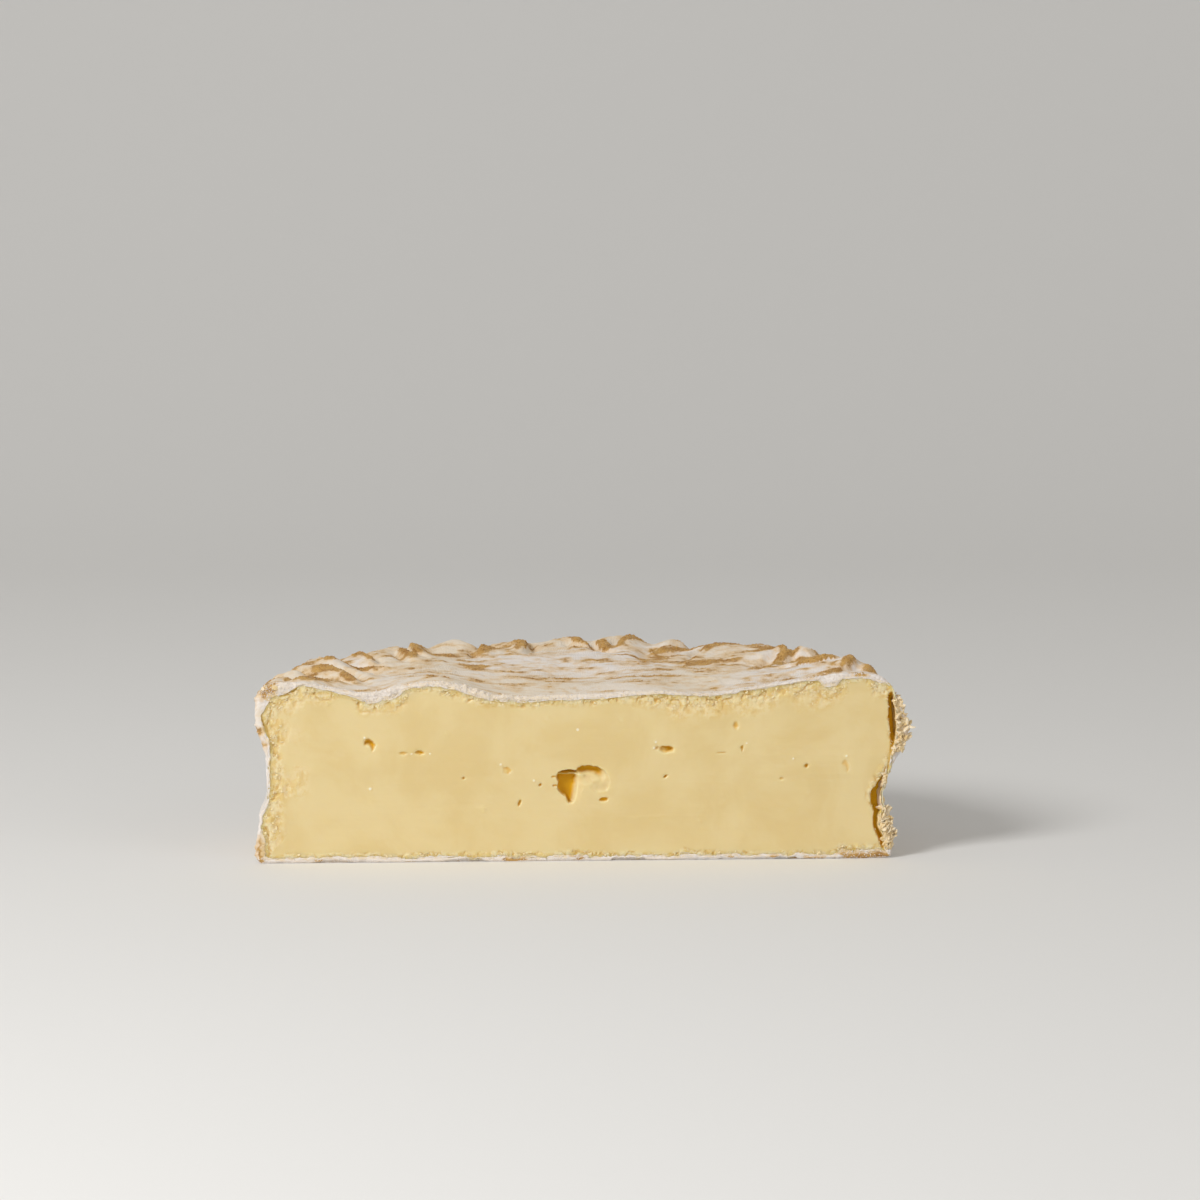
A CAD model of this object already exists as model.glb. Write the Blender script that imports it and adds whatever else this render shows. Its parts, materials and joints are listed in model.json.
"""Half of a soft-ripened cheese wheel: its bloomy rind, its cut paste and a plain stage.

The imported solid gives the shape: the rind's skin is found on it by casting rays, and finer relief is
added to that. The half is cut through the wheel's middle. Its cut faces -Y, and +Z is up.
Lengths inside the functions are millimetres, and turn into metres where a mesh is made.
"""

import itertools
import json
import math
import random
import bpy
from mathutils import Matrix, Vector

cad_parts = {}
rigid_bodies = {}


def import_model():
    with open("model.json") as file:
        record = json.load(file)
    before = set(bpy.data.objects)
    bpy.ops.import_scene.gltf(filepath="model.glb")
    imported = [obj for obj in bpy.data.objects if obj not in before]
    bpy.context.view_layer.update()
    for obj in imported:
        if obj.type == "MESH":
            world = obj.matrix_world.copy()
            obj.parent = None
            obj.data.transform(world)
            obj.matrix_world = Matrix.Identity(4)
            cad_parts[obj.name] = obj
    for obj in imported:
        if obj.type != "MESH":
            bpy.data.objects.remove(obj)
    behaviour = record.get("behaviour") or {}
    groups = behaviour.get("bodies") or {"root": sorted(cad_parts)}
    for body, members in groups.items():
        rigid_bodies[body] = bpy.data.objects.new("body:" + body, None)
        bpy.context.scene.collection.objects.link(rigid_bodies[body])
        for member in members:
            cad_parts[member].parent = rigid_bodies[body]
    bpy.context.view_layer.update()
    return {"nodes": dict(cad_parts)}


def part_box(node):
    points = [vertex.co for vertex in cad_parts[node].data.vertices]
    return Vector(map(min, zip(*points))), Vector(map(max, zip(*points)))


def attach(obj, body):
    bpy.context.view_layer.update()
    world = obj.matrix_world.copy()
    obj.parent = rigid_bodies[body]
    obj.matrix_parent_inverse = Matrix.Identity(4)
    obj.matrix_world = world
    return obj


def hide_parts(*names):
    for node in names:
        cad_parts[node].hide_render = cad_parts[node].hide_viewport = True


bl_info = {
    "name": "Soft-ripened cheese half",
    "version": (1, 0, 0),
    "blender": (4, 5, 0),
    "location": "3D View > Sidebar > Cheese",
    "description": "Makes the rind, the cut paste and the stage of half a soft-ripened cheese wheel",
    "category": "Add Mesh",
}

from functools import lru_cache

import bpy
import numpy as np
from bpy.props import FloatProperty, FloatVectorProperty, PointerProperty
from mathutils import Vector
from mathutils.bvhtree import BVHTree
from mathutils.kdtree import KDTree

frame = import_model()

# ---- the frame's sizes, in millimetres ------------------------------------------------------
MM = 0.001
NODE = "half_cheese"
LOW, HIGH = (np.array(corner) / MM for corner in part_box(NODE))
CUT_Y = LOW[1]
WHEEL_RADIUS = HIGH[1] - LOW[1]
AXIS_X = LOW[0] + WHEEL_RADIUS
HEIGHT = HIGH[2] - LOW[2]
SHOULDER_RADIUS = 4.2
FOOT_RADIUS = 1.4
SIDE_CORE = 12.0  # how far inside the side the rays that find it aim
RAY_REACH = 40.0  # how far out from its inner point each ray starts
CLEAR_OF_CUT = 1.6  # rays start this far behind the cut, clear of the nicks in its edge

# ---- how finely the pieces are divided ------------------------------------------------------
SKIN_ACROSS = 300  # cells of the top's grid along the cut
SKIN_BACK = 150
SHOULDER_ROWS = 14
SIDE_ROWS = 52
FOOT_ROWS = 4
EDGE_COLUMNS = 2000  # round the cut's outline
PASTE_ACROSS = 560
PASTE_UP = 165

# ---- the cut's layers -----------------------------------------------------------------------
EDGE_WRAP = 0.45  # how far behind the cut the skin ends and the cut edge takes over
RECESS_DEPTH = 7.0  # the rind's hollow that holds the paste
PASTE_DEPTH = 6.5
SLAB_TAPER = 2.6  # how much narrower both are at their backs, so that neither nears the folds
OVERLAP = 0.35  # how far the paste runs in under the cut edge
BORDER_ACROSS, BORDER_UP = 7.0, 5.0  # how far in the paste's grid follows its ragged border
PASTE_FOOT = 0.15  # the paste stays this far above the ground
TORN_STEPS = 36  # heights at which the torn paste's end is read


# ---- plain mathematics ----------------------------------------------------------------------
def ease(value, low, high):
    """0 below low, 1 above high, and smooth between them."""
    t = np.clip((value - low) / (high - low), 0.0, 1.0)
    return t * t * (3.0 - 2.0 * t)


def bell(distance, width):
    """1 at no distance, and near 0 past two widths."""
    return np.exp(-((distance / width) ** 2))


def noise(points, size, seed):
    """Smooth noise between -1 and 1, with lumps of about that size, which may differ by axis."""
    p = np.asarray(points) / np.asarray(size, float) + 19.7 * seed
    cell = np.floor(p).astype(np.int64)
    f = p - cell
    f = f * f * f * (f * (f * 6.0 - 15.0) + 10.0)
    total = np.zeros(len(p))
    for corner in itertools.product((0, 1), repeat=3):
        c = cell + corner
        h = (c[:, 0] * 73856093) ^ (c[:, 1] * 19349663) ^ (c[:, 2] * 83492791)
        h = (h & 0xFFFFFFFF) * 2654435761 & 0xFFFFFFFF
        h = (h ^ (h >> 15)) * 2246822519 & 0xFFFFFFFF
        value = ((h ^ (h >> 13)) & 0xFFFF) / 32767.5 - 1.0
        weight = np.prod(np.where(corner, f, 1.0 - f), axis=1)
        total += weight * value
    return total


def layered(points, size, seed, layers=3):
    """Noise of several sizes, each half as large and half as strong as the one before."""
    size = np.asarray(size, float)
    return sum(noise(points, size / 2**i, seed + i) / 2**i for i in range(layers))


def ridged(points, size, seed):
    """Noise with sharp crests: near 1 along thin winding lines, and lower between them."""
    return 1.0 - 2.0 * np.abs(noise(points, size, seed))


def blur(field, passes):
    """A field of rows and columns, smoothed over its neighbours."""
    for _ in range(passes):
        for axis in range(2):
            padded = np.pad(field, [(1, 1) if a == axis else (0, 0) for a in range(2)], "edge")
            size = field.shape[axis]
            before = np.take(padded, range(0, size), axis)
            after = np.take(padded, range(2, size + 2), axis)
            field = 0.25 * before + 0.5 * field + 0.25 * after
    return field


def blur_loop(values, passes):
    """Values round a closed loop, smoothed along it."""
    for _ in range(passes):
        values = 0.25 * np.roll(values, 1, 0) + 0.5 * values + 0.25 * np.roll(values, -1, 0)
    return values


def along(points):
    """Distance along a closed loop at each of its points, and its whole length."""
    steps = np.linalg.norm(np.roll(points, -1, 0) - points, axis=1)
    return np.concatenate([[0.0], np.cumsum(steps)[:-1]]), steps.sum()


# ---- the solid's skin -----------------------------------------------------------------------
def solid_tree():
    mesh = frame["nodes"][NODE].data
    points = np.empty(3 * len(mesh.vertices), np.float32)
    mesh.vertices.foreach_get("co", points)
    mesh.calc_loop_triangles()
    faces = [tuple(t.vertices) for t in mesh.loop_triangles]
    return BVHTree.FromPolygons((points.reshape(-1, 3) / MM).tolist(), faces)


SOLID = solid_tree()


def skin_points(cores, outward, usual=0.0, passes=3):
    """Points on the solid's skin for a grid of inner points and outward directions, slightly smoothed.

    usual is about how far each row's skin lies from its inner points.
    """
    starts = cores.reshape(-1, 3).copy()
    starts[:, 1] = np.maximum(starts[:, 1], CUT_Y + CLEAR_OF_CUT)
    distances = np.empty(len(starts))
    for i, (start, out) in enumerate(zip(starts.tolist(), outward.reshape(-1, 3).tolist())):
        direction = Vector(out)
        far = Vector(start) + RAY_REACH * direction
        hit, _, _, travelled = SOLID.ray_cast(far, -direction, RAY_REACH)
        if hit is None:
            raise RuntimeError(f"no skin was found outside {start}")
        distances[i] = RAY_REACH - travelled
    distance = blur(distances.reshape(cores.shape[:2]) - usual, passes) + usual
    return cores + distance[..., None] * outward


# ---- the rind's relief ----------------------------------------------------------------------
FOLDS = 19
FOLD_SEED = 23


def wheel_place(points):
    """Angle round the wheel and distance from its axis."""
    dx, dy = points[:, 0] - AXIS_X, points[:, 1] - CUT_Y
    return np.arctan2(dy, dx), np.hypot(dx, dy)


def creases(points):
    """Sharp folds that fan in from the rim: their height, and how far each place is on a crest."""
    rng = random.Random(FOLD_SEED)
    ridge, trough, crest = (np.zeros(len(points)) for _ in range(3))
    wander = 0.7 * noise(points, 5.0, 1) + 0.3 * noise(points, 2.0, 2)
    for i in range(FOLDS):
        # A fold: where it starts, its heading, its length and height, and its gentle and steep sides.
        theta = math.pi * (i + 0.5 + rng.uniform(-0.4, 0.4)) / FOLDS
        start_r = WHEEL_RADIUS - rng.uniform(3.0, 7.0)
        lean = rng.choice((-1, 1)) * rng.uniform(0.10, 0.75)
        length, height = rng.uniform(6.0, 17.0), rng.uniform(0.55, 1.0)
        gentle, steep, side = rng.uniform(1.3, 2.8), rng.uniform(0.20, 0.42), rng.choice((-1, 1))
        heading = theta + math.pi + lean
        dx = points[:, 0] - AXIS_X - start_r * math.cos(theta)
        dy = points[:, 1] - CUT_Y - start_r * math.sin(theta)
        a = dx * math.cos(heading) + dy * math.sin(heading)
        b = side * (dy * math.cos(heading) - dx * math.sin(heading)) + wander
        b = b - 0.12 * length * np.sin(np.clip(a / length, 0.0, 1.0) * math.pi)
        reach = ease(a, -2.0, 2.0) * (1.0 - ease(a, 0.40 * length, length))
        width = gentle * (1.15 - 0.75 * np.clip(a / length, 0.0, 1.0))
        gentle_side = 1.0 - ease(-b, 0.15 * width, 1.9 * width)
        profile = np.where(b > 0.0, np.exp(-np.maximum(b, 0.0) / steep), gentle_side)
        ridge = np.maximum(ridge, height * reach * profile)
        trough = np.maximum(trough, reach * height * bell(b - 1.3, 0.9))
        on_crest = np.where(b > 0.25, 0.0, 1.0 - ease(-b, 0.5 * width, 1.25 * width))
        crest = np.maximum(crest, reach * on_crest)
    return 0.85 * ridge - 1.15 * trough, crest


def rind_relief(points, up, fold_height):
    """Height of the rind's own relief, and the masks that its colours and grains follow.

    up is 1 where the skin faces up, and 0 where it faces sideways.
    """
    theta, r = wheel_place(points)
    round_it = np.stack([theta * WHEEL_RADIUS, r, points[:, 2]], 1)
    top = ease(up, 0.25, 0.85)
    side = 1.0 - top
    rim = bell(up - 0.80, 0.22)
    middle = 1.0 - ease(r, 0.20 * WHEEL_RADIUS, 0.60 * WHEEL_RADIUS)

    fold, crest = creases(points)
    lumps = layered(points, 3.0, 31)
    grain = layered(points, 0.9, 41, 2)
    folded = 1.0 - 0.75 * middle
    streaks = layered(round_it, (20.0, 6.0, 2.6), 51)
    ledges = np.maximum(ridged(round_it, (30.0, 8.0, 4.2), 61), 0.0)
    bent = points + 1.2 * noise(points, 4.0, 21)[:, None]
    dimples = np.maximum(ridged(bent, (4.6, 3.4, 5.0), 22), 0.0)

    height = top * (fold_height * fold + 0.15 * folded * dimples**2 + 0.12 * folded * lumps)
    height += side * (0.20 * streaks + 0.30 * ledges**3 + 0.10 * lumps)

    dashes = layered(points, (6.4, 1.9, 8.0), 71, 2) + 0.40 * noise(points, 15.0, 72)
    patches = layered(points, (3.0, 2.0, 3.0), 75, 3) + 0.4 * noise(points, 12.0, 76)
    front = 1.0 - ease(points[:, 1] - CUT_Y, 6.0, 20.0)
    on_top = 0.30 + 0.68 * dashes - 0.20 * middle - 0.24 * front
    on_top = np.maximum(0.22 + 0.85 * crest + 0.42 * lumps, on_top)
    on_top = np.maximum(on_top, 0.25 + 0.5 * patches * folded)
    on_side = 0.42 + 0.26 * layered(round_it, (15.0, 9.0, 3.0), 81) + 0.20 * ledges
    on_side = on_side + 0.10 * noise(points, 11.0, 83)
    on_side += 0.16 * layered(round_it, (2.6, 2.0, 1.1), 85, 2)
    on_side -= 0.50 * np.maximum(on_side - 0.56, 0.0)
    on_rim = 0.60 + 0.40 * layered(round_it, (7.0, 3.0, 2.0), 91)
    worn = top * on_top + side * on_side
    worn = worn * (1.0 - rim) + rim * np.maximum(worn, on_rim)
    cream = ease(noise(points, 17.0, 101) + 0.7 * middle, -0.1, 0.6) * top
    cool = ease(noise(round_it, (40.0, 20.0, 9.0), 111), -0.1, 0.5) * side
    bare = ease(worn, 0.60, 0.80)
    height += 0.045 * grain + 0.05 * bare * grain - 0.12
    masks = {
        "worn": np.clip(worn, 0.0, 1.0),
        "bare": bare,
        "cream": cream,
        "cool": cool,
        "ripples": 0.38 * top * ease(noise(points, 9.0, 121), 0.1, 0.6) * (1.0 - bare),
    }
    return height, masks


# ---- the skin -------------------------------------------------------------------------------
def half_disc(across, back, radius):
    """A grid over a half disc with no pole: rows from the cut backward, columns from left to right."""
    u = np.linspace(-1.0, 1.0, across + 1)[None, :]
    v = np.linspace(0.0, 1.0, back + 1)[:, None] ** 1.12
    x = AXIS_X + radius * u * np.sqrt(1.0 - 0.5 * v * v)
    y = CUT_Y + radius * v * np.sqrt(1.0 - 0.5 * u * u)
    return x, y


def grid_faces(rows, columns, first=0, closed=False):
    """Quads of a grid whose points run row by row. closed joins its last column to its first."""
    r, c = np.meshgrid(np.arange(rows - 1), np.arange(columns if closed else columns - 1), indexing="ij")
    r, c = r.ravel(), c.ravel()
    n = (c + 1) % columns
    quads = np.stack([r * columns + c, r * columns + n, (r + 1) * columns + n, (r + 1) * columns + c], 1)
    return (quads + first).tolist()


def turned(faces):
    return [face[::-1] for face in faces]


def ring_faces(outer, inner):
    """Quads between two closed rings of point numbers."""
    count = len(outer)
    return [(outer[i], outer[(i + 1) % count], inner[(i + 1) % count], inner[i]) for i in range(count)]


@lru_cache(maxsize=2)
def skin_shell(fold_height):
    """The skin without its cut side: points, faces, masks and the point numbers round the cut."""
    flat = WHEEL_RADIUS - SHOULDER_RADIUS
    x, y = half_disc(SKIN_ACROSS, SKIN_BACK, flat)
    cores = np.stack([x, y, np.full(x.shape, 0.5 * HEIGHT)], 2)
    upward = np.broadcast_to([0.0, 0.0, 1.0], cores.shape)
    top = skin_points(cores, upward)

    number = np.arange(x.size).reshape(x.shape)
    rim = np.concatenate([number[:, -1], number[-1, -2::-1], number[-2::-1, 0]])
    rim_points = top.reshape(-1, 3)[rim]
    theta, _ = wheel_place(rim_points)
    theta[0], theta[-1] = 0.0, math.pi
    radial = np.stack([np.cos(theta), np.sin(theta), np.zeros(len(theta))], 1)
    side_top = rim_points[:, 2] - SHOULDER_RADIUS
    cores, outward = [], []
    for row in range(1, SHOULDER_ROWS + 1):
        turn = 0.5 * math.pi * row / SHOULDER_ROWS
        core = np.array([AXIS_X, CUT_Y, 0.0]) + flat * radial
        core[:, 2] = side_top
        cores.append(core)
        outward.append(math.sin(turn) * radial + [0.0, 0.0, math.cos(turn)])
    for row in range(1, SIDE_ROWS + 1):
        core = np.array([AXIS_X, CUT_Y, 0.0]) + (WHEEL_RADIUS - SIDE_CORE) * radial
        core[:, 2] = side_top + (FOOT_RADIUS - side_top) * row / SIDE_ROWS
        cores.append(core)
        outward.append(radial)
    outward = np.array(outward)
    usual = np.repeat([SHOULDER_RADIUS, SIDE_CORE], [SHOULDER_ROWS, SIDE_ROWS])[:, None]
    side = skin_points(np.array(cores), outward, usual)

    points = np.concatenate([top.reshape(-1, 3), side.reshape(-1, 3)])
    up = np.concatenate([np.ones(x.size), outward[..., 2].ravel()])
    direction = np.concatenate([upward.reshape(-1, 3), outward.reshape(-1, 3)])
    height, masks = rind_relief(points, up, fold_height)
    calm = ease(points[:, 2], 0.0, 2.5)
    points = points + (height * calm)[:, None] * direction
    behind = points[:, 1] - CUT_Y
    points[:, 1] += EDGE_WRAP * (1.0 - ease(behind, 0.0, 2.5))

    columns = len(rim)
    first_side = x.size
    last = first_side + (SIDE_ROWS + SHOULDER_ROWS - 1) * columns + np.arange(columns)
    foot = []
    for row in range(1, FOOT_ROWS + 1):
        turn = 0.5 * math.pi * row / FOOT_ROWS
        ring = points[last].copy()
        ring -= FOOT_RADIUS * (1.0 - math.cos(turn)) * radial
        ring[:, 2] *= 1.0 - math.sin(turn)
        foot.append(ring)
    points = np.concatenate([points, np.concatenate(foot)])
    faces = grid_faces(SKIN_BACK + 1, SKIN_ACROSS + 1)
    faces += [(rim[i + 1], rim[i], first_side + i, first_side + i + 1) for i in range(columns - 1)]
    side_rows = SHOULDER_ROWS + SIDE_ROWS + FOOT_ROWS
    faces += turned(grid_faces(side_rows, columns, first_side))

    sides = first_side + np.arange(side_rows * columns).reshape(side_rows, columns)
    right, left = sides[-1, 0], sides[-1, -1]
    share = np.linspace(0.0, 1.0, SKIN_ACROSS // 2)[1:-1, None]
    sill = points[right] + share * (points[left] - points[right])
    sill_numbers = len(points) + np.arange(len(sill))
    points = np.concatenate([points, sill])
    faces.append(sides[-1, ::-1].tolist() + sill_numbers.tolist())
    front = np.concatenate([number[0], sides[:, 0], sill_numbers, sides[::-1, -1]])
    return points, faces, masks, front


# ---- the cut's outline ----------------------------------------------------------------------
# Spans of the cut edge that differ from the rest. Each row: where its centre is from the wheel's
# axis and the underside, half its length, and what it adds to each of SPAN_FIELDS: the rind's
# thickness, the golden crack beside it, how frayed and how worn it is, and the crumbly paste's width.
SPAN_FIELDS = ("thick", "crack", "fray", "worn", "crumbly")
EDGE_SPANS = np.array((
    (57.0, 23.0, 6.0, 0.0, 0.0, 1.0, -0.2, -0.6),
    (51.5, 11.2, 2.0, 0.0, 0.0, 0.5, 0.3, 0.2),
    (52.0, 5.0, 4.8, 0.0, 0.0, 1.0, -0.2, -0.7),
    (52.5, 14.4, 1.6, 0.0, 0.0, 1.0, -0.3, 0.8),
    (52.5, 30.0, 3.0, 0.3, 0.2, 0.4, -0.2, 2.8),
    (43.2, 31.0, 1.8, 1.2, 0.0, 0.3, -0.6, 2.4),
    (26.0, 29.0, 17.0, -0.35, 0.2, 0.1, 0.0, 3.4),
    (-33.0, 30.0, 3.6, 1.0, 0.0, 0.5, -0.6, 1.6),
    (-14.0, 30.0, 9.0, 0.3, 0.0, 0.5, -0.6, 0.4),
    (-44.5, 30.0, 4.6, -0.2, 0.0, 0.2, 0.1, 3.0),
    (-51.0, 28.6, 4.8, 1.3, 1.3, 0.3, 0.2, 4.6),
    (-53.5, 22.0, 2.6, 0.2, 0.8, 0.3, 0.0, 5.6),
    (-51.8, 30.2, 2.0, 0.0, 0.0, 0.3, 0.5, 0.0),
    (-54.5, 21.0, 2.0, 0.0, 0.0, 0.1, 0.4, 0.0),
    (-52.0, 11.0, 8.0, -0.45, 0.0, 0.3, -0.2, 5.8),
    (-53.0, 2.0, 3.0, 0.7, 0.0, 0.3, 0.6, 3.4),
    (48.6, 0.0, 4.6, 0.6, 0.4, 0.2, 0.6, 0.3),
))
# The torn right end. Each row: a height, where the paste ends there and where the rind begins, the
# last two from the axis.
TORN_HEIGHTS, PASTE_ENDS, RIND_BEGINS = np.array((
    (0.5, 52.0, 52.2), (2.5, 51.8, 52.4), (3.9, 51.3, 52.2), (5.5, 50.6, 51.3),
    (7.2, 50.5, 51.3), (9.0, 51.0, 52.8), (10.3, 51.7, 53.4), (12.1, 52.1, 53.6),
    (13.0, 52.4, 53.2), (14.5, 52.6, 53.0), (17.7, 53.2, 53.5), (19.0, 53.5, 53.9),
    (21.0, 53.4, 54.3), (23.2, 53.2, 54.4), (25.9, 53.1, 54.1), (27.8, 52.9, 53.8),
    (28.6, 53.3, 53.6), (30.0, 54.2, 54.4),
)).T
TORN_FROM = 40.0  # the torn end lies further right of the axis than this
TORN_DEPTH = 2.3  # how deep the gap between the torn paste and the rind is
HOOK = (54.5, 28.6)  # where the gap behind the upper flap turns out through the cut edge


@lru_cache(maxsize=2)
def cut_outline(fold_height):
    """Everything that varies round the cut, in even steps counter-clockwise from the lower left."""
    points, _, _, front = skin_shell(fold_height)
    loop = points[front][::-1]
    flat = loop[:, [0, 2]]
    start = int(np.argmin(flat[:, 0] + flat[:, 1]))
    loop, flat = np.roll(loop, -start, 0), np.roll(flat, -start, 0)
    place, length = along(flat)
    wanted = length * np.arange(EDGE_COLUMNS) / EDGE_COLUMNS
    closed = np.concatenate([loop, loop[:1]])
    stations = np.append(place, length)
    edge = np.stack([np.interp(wanted, stations, closed[:, k]) for k in range(3)], 1)
    line = edge[:, [0, 2]]
    smooth = blur_loop(line, 12)
    tangent = blur_loop(np.roll(smooth, -3, 0) - np.roll(smooth, 3, 0), 10)
    normal = np.stack([tangent[:, 1], -tangent[:, 0]], 1)
    normal /= np.linalg.norm(normal, axis=1)[:, None]
    upper, lower = ease(normal[:, 1], 0.3, 0.9), ease(-normal[:, 1], 0.3, 0.9)

    def away_from(at):
        nearest = np.argmin(np.linalg.norm(line - [AXIS_X + at[0], at[1]], axis=1))
        away = np.abs(wanted - wanted[nearest])
        return np.minimum(away, length - away)

    shares = [1.0 - ease(away_from(row[:2]), 0.55 * row[2], 1.25 * row[2]) for row in EDGE_SPANS]

    def spans(what):
        added = EDGE_SPANS[:, 3 + SPAN_FIELDS.index(what)]
        return sum(amount * share for amount, share in zip(added, shares))

    here = np.stack([line[:, 0], np.zeros(EDGE_COLUMNS), line[:, 1]], 1)
    ragged = 0.34 * layered(here, 2.4, 201) + 0.26 * layered(here, 0.7, 205, 2)
    x, z = line[:, 0] - AXIS_X, line[:, 1]
    at_right = (x > TORN_FROM) * ease(z, 0.4, 2.0) * (1.0 - ease(z, 28.6, 31.0))
    outward = normal * (1.0 - at_right)[:, None] + at_right[:, None] * [1.0, 0.0]
    outward /= np.linalg.norm(outward, axis=1)[:, None]
    rind_begins = np.interp(z, TORN_HEIGHTS, RIND_BEGINS)
    thick = 1.05 - 0.25 * upper - 0.15 * lower + spans("thick")
    thick = thick * (1.0 - at_right) + (x - rind_begins) * at_right
    uneven = ragged * (0.26 + 0.06 * thick + 0.50 * lower) * (1.0 - 0.6 * at_right)
    return {
        "edge": edge,
        "line": line,
        "normal": normal,
        "outward": outward,
        "lower": lower,
        "upper": upper,
        "place": wanted,
        "thick": np.maximum(thick + uneven, 0.22),
        "gap": (rind_begins - np.interp(z, TORN_HEIGHTS, PASTE_ENDS)) * at_right,
        "torn_side": at_right,
        "crack": spans("crack"),
        "fray": 0.12 + np.clip(spans("fray"), 0.0, 1.0),
        "worn": spans("worn"),
        "crumbly": np.maximum(1.2 - 0.3 * lower + spans("crumbly"), 0.2),
        "hook": bell(away_from(HOOK), 0.50),
    }


# ---- the rind's meshes ----------------------------------------------------------------------
def make_piece(name, points, faces, masks, material, slot):
    """A smooth mesh piece in millimetres, with its masks as point attributes, set on its body."""
    mesh = bpy.data.meshes.new(name)
    mesh.from_pydata((np.asarray(points) * MM).tolist(), [], faces)
    mesh.shade_smooth()
    for key, values in masks.items():
        layer = mesh.attributes.new(key, "FLOAT", "POINT")
        layer.data.foreach_set("value", np.asarray(values, np.float32))
    mesh.materials.append(material)
    return place_piece(name, mesh, slot)


def place_piece(name, mesh, slot):
    piece = bpy.data.objects.new(name, mesh)
    bpy.context.scene.collection.objects.link(piece)
    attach(piece, "root")
    return piece


def nearest_places(loop, points):
    """The number of the loop's point nearest to each point of the cut's plane, and how far it is."""
    tree = KDTree(len(loop))
    for i, (x, z) in enumerate(loop.tolist()):
        tree.insert((x, 0.0, z), i)
    tree.balance()
    found = [tree.find((x, 0.0, z))[1:] for x, z in points.tolist()]
    return np.array([number for number, _ in found]), np.array([far for _, far in found])


def add_slab(points, faces, ring, steps):
    """Carries a ring of points backward in steps of an inset and a depth, and closes the last one."""
    start = points[ring]
    for inset, depth in steps:
        inner = start.copy()
        inner[:, [0, 2]] -= inset
        inner[:, 1] = CUT_Y + depth
        numbers = len(points) + np.arange(len(inner))
        points = np.concatenate([points, inner])
        faces += turned(ring_faces(ring.tolist(), numbers.tolist()))
        ring = numbers
    faces.append(ring.tolist()[::-1])
    return points


def extended(masks, count, value):
    """Masks for more points, which all take the same value."""
    return {
        key: np.concatenate([values, np.full(count - len(values), value)]) for key, values in masks.items()
    }


def rind_mesh(settings):
    """Points, faces and masks of the rind: skin, underside and the recess that holds the paste."""
    fold_height = settings.fold_height / MM
    points, faces, masks, front = skin_shell(fold_height)
    faces = list(faces)
    outline = cut_outline(fold_height)
    nearest, _ = nearest_places(outline["line"], points[front][:, [0, 2]])
    inset = 0.85 * blur_loop(outline["thick"], 60)[nearest][:, None]
    steps = ((0.7, 0.0, EDGE_WRAP), (1.0, 0.0, 1.2), (1.0, SLAB_TAPER, RECESS_DEPTH))
    points = add_slab(points, faces, front, [
        ((share * inset + more) * outline["outward"][nearest], depth) for share, more, depth in steps
    ])
    return points, faces, extended(masks, len(points), 0.3)


CUT_ROWS = 15  # across the rind's cut


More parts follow.
